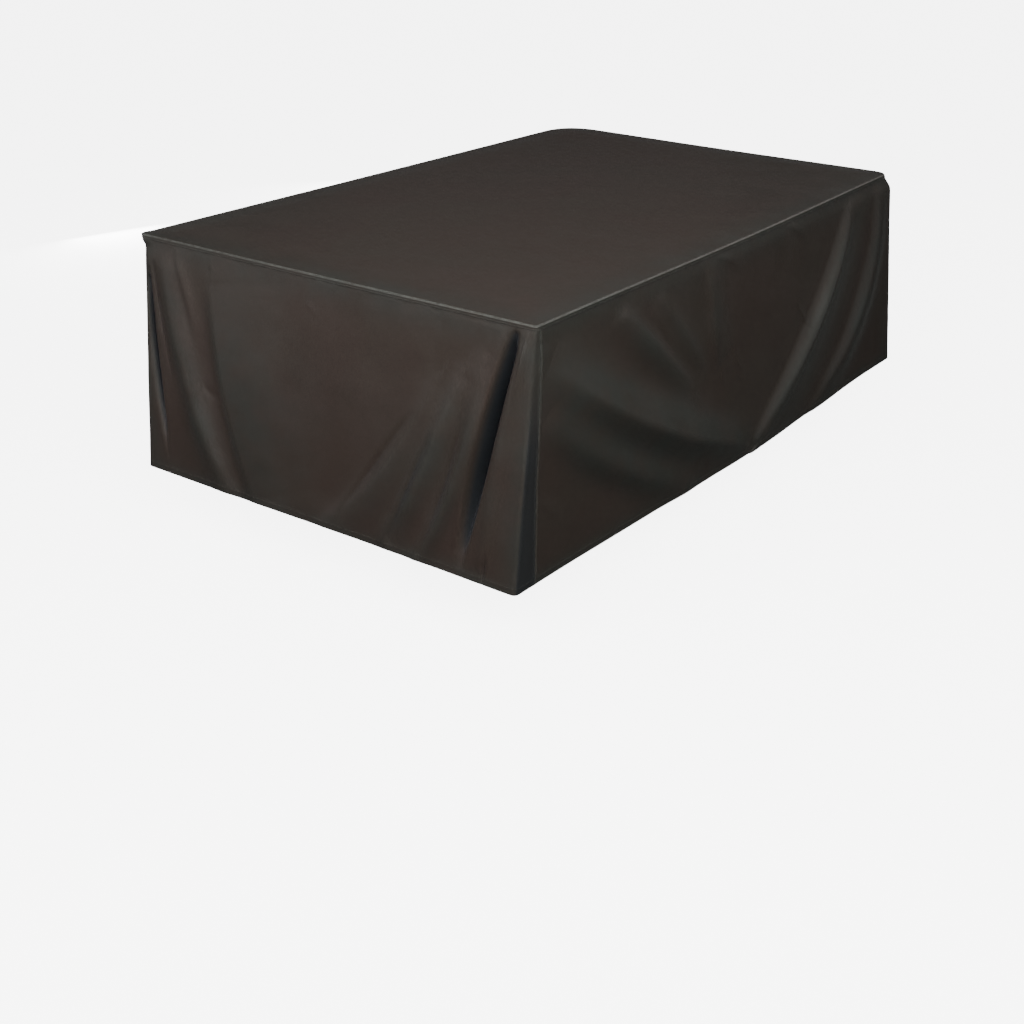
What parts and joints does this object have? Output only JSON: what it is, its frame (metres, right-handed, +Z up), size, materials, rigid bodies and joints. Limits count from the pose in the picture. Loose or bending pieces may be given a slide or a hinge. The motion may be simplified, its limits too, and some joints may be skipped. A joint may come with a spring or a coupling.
{
  "type": "patio furniture cover",
  "caption": "Fitted box-shaped cloth cover for rectangular patio furniture, hollow and open underneath, its sides hanging in swags, folds and a deep pleat.",
  "frame": {"origin": "underside of the top panel at the centre of the cover, where the furniture under it holds it up", "axes": "+X along the cover's long side towards its right end, +Y towards its rear panel, +Z up; the deep pleat is at the -X end beside the -X, -Y corner"},
  "size_m": [2.2746, 1.4786, 0.7047],
  "materials": {
    "cover_cloth": "satin"
  },
  "bodies": {
    "root": {"top_panel": "cover_cloth", "front_panel": "cover_cloth", "right_end_panel": "cover_cloth", "rear_panel": "cover_cloth", "left_end_panel": "cover_cloth"}
  },
  "joints": []
}
